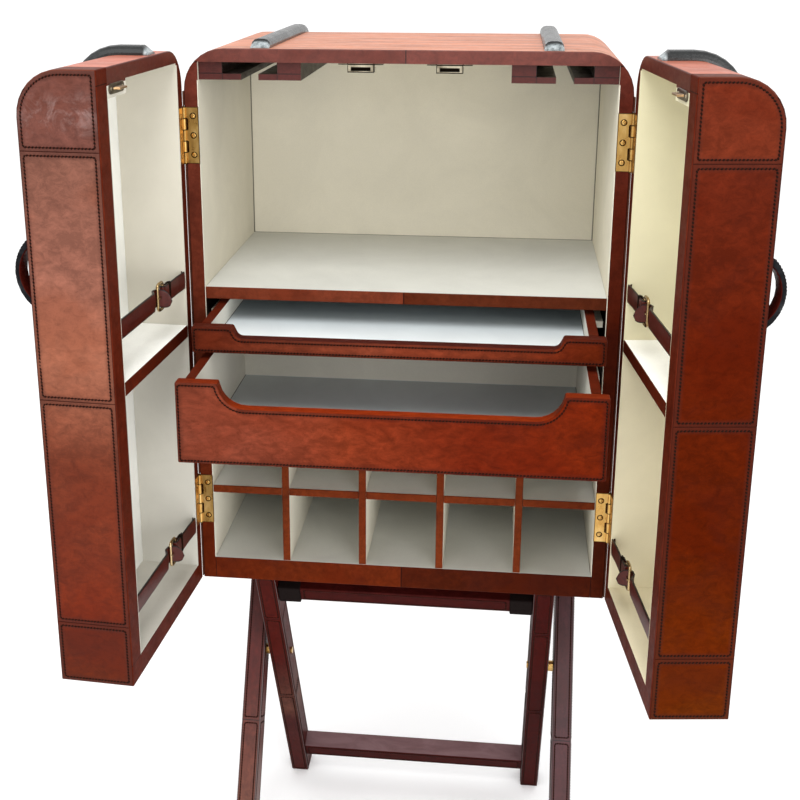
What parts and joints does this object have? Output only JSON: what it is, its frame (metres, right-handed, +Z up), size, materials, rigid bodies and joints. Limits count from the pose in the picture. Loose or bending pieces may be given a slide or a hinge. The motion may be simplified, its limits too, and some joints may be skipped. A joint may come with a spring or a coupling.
{
  "type": "trunk bar cabinet",
  "caption": "Leather-covered trunk that opens as a bar, with doors, drawers and a bottle rack, on a folding X-shaped stand.",
  "frame": {"origin": "on the floor, under the middle of the bounding box", "axes": "+Z up, +X to the right of someone facing the open trunk, -Y towards that person"},
  "size_m": [0.9124, 0.6958, 1.4113],
  "materials": {
    "brown_leather": "waxed, semi-gloss",
    "stand_leather": "dark, semi-gloss",
    "strap_leather": "dark, satin",
    "black_leather": "black, polished",
    "brass": "polished, slightly aged",
    "catch_metal": "dull nickel"
  },
  "bodies": {
    "stand_outer_frame": {"stand_outer_left_leg": "stand_leather", "stand_outer_right_leg": "stand_leather", "stand_outer_top_rail": "stand_leather", "stand_outer_lower_rail": "stand_leather", "left_pivot_bolt": "brass", "right_pivot_bolt": "brass"},
    "stand_inner_frame": {"stand_inner_left_leg": "stand_leather", "stand_inner_right_leg": "stand_leather", "stand_inner_top_rail": "stand_leather", "stand_inner_lower_rail": "stand_leather"},
    "trunk": {"left_side_panel": "brown_leather", "right_side_panel": "brown_leather", "top_panel": "brown_leather", "bottom_panel": "brown_leather", "back_panel": "brown_leather", "upper_shelf": "brown_leather", "rack_top_panel": "brown_leather", "rack_shelf": "brown_leather", "rack_divider_1": "brown_leather", "rack_divider_2": "brown_leather", "rack_divider_3": "brown_leather", "rack_divider_4": "brown_leather", "left_catch": "catch_metal", "right_catch": "catch_metal", "left_top_slat": "black_leather", "right_top_slat": "black_leather", "left_upper_case_hinge": "brass", "left_lower_case_hinge": "brass", "right_upper_case_hinge": "brass", "right_lower_case_hinge": "brass"},
    "upper_drawer": {"upper_drawer_front": "brown_leather", "upper_drawer_box": "brown_leather"},
    "lower_drawer": {"lower_drawer_front": "brown_leather", "lower_drawer_box": "brown_leather"},
    "left_door": {"left_door_face": "brown_leather", "left_door_free_side": "brown_leather", "left_door_hinge_side": "brown_leather", "left_door_top": "brown_leather", "left_door_bottom": "brown_leather", "left_door_shelf": "brown_leather", "left_door_upper_strap": "strap_leather", "left_door_lower_strap": "strap_leather", "left_door_handle": "black_leather", "left_door_slat": "black_leather", "left_door_strike": "catch_metal", "left_upper_door_hinge": "brass", "left_lower_door_hinge": "brass"},
    "right_door": {"right_door_face": "brown_leather", "right_door_free_side": "brown_leather", "right_door_hinge_side": "brown_leather", "right_door_top": "brown_leather", "right_door_bottom": "brown_leather", "right_door_shelf": "brown_leather", "right_door_upper_strap": "strap_leather", "right_door_lower_strap": "strap_leather", "right_door_handle": "black_leather", "right_door_slat": "black_leather", "right_door_strike": "catch_metal", "right_upper_door_hinge": "brass", "right_lower_door_hinge": "brass"}
  },
  "joints": [
    {"name": "trunk_lift", "type": "slide", "parent": "stand_outer_frame", "child": "trunk", "axis": [0, 0, 1], "range_m": [0, 0.25]},
    {"name": "stand_fold", "type": "hinge", "parent": "stand_outer_frame", "child": "stand_inner_frame", "pos_m": [-0.00746, 0.13951, 0.363], "axis": [-1, 0, 0], "range_deg": [0, 40]},
    {"name": "left_door_swing", "type": "hinge", "parent": "trunk", "child": "left_door", "pos_m": [-0.31346, -0.04319, 0.9975], "axis": [0, 0, -1], "range_deg": [-7, 86.25]},
    {"name": "right_door_swing", "type": "hinge", "parent": "trunk", "child": "right_door", "pos_m": [0.29854, -0.04319, 0.9975], "axis": [0, 0, 1], "range_deg": [-10, 83.25]},
    {"name": "upper_drawer_slide", "type": "slide", "parent": "trunk", "child": "upper_drawer", "axis": [0, -1, 0], "range_m": [-0.114, 0.136]},
    {"name": "lower_drawer_slide", "type": "slide", "parent": "trunk", "child": "lower_drawer", "axis": [0, -1, 0], "range_m": [-0.211, 0.039]}
  ],
  "couplings": [
    {"joint": "stand_fold", "follows": "trunk_lift", "rad_per_m": 2.7925}
  ]
}
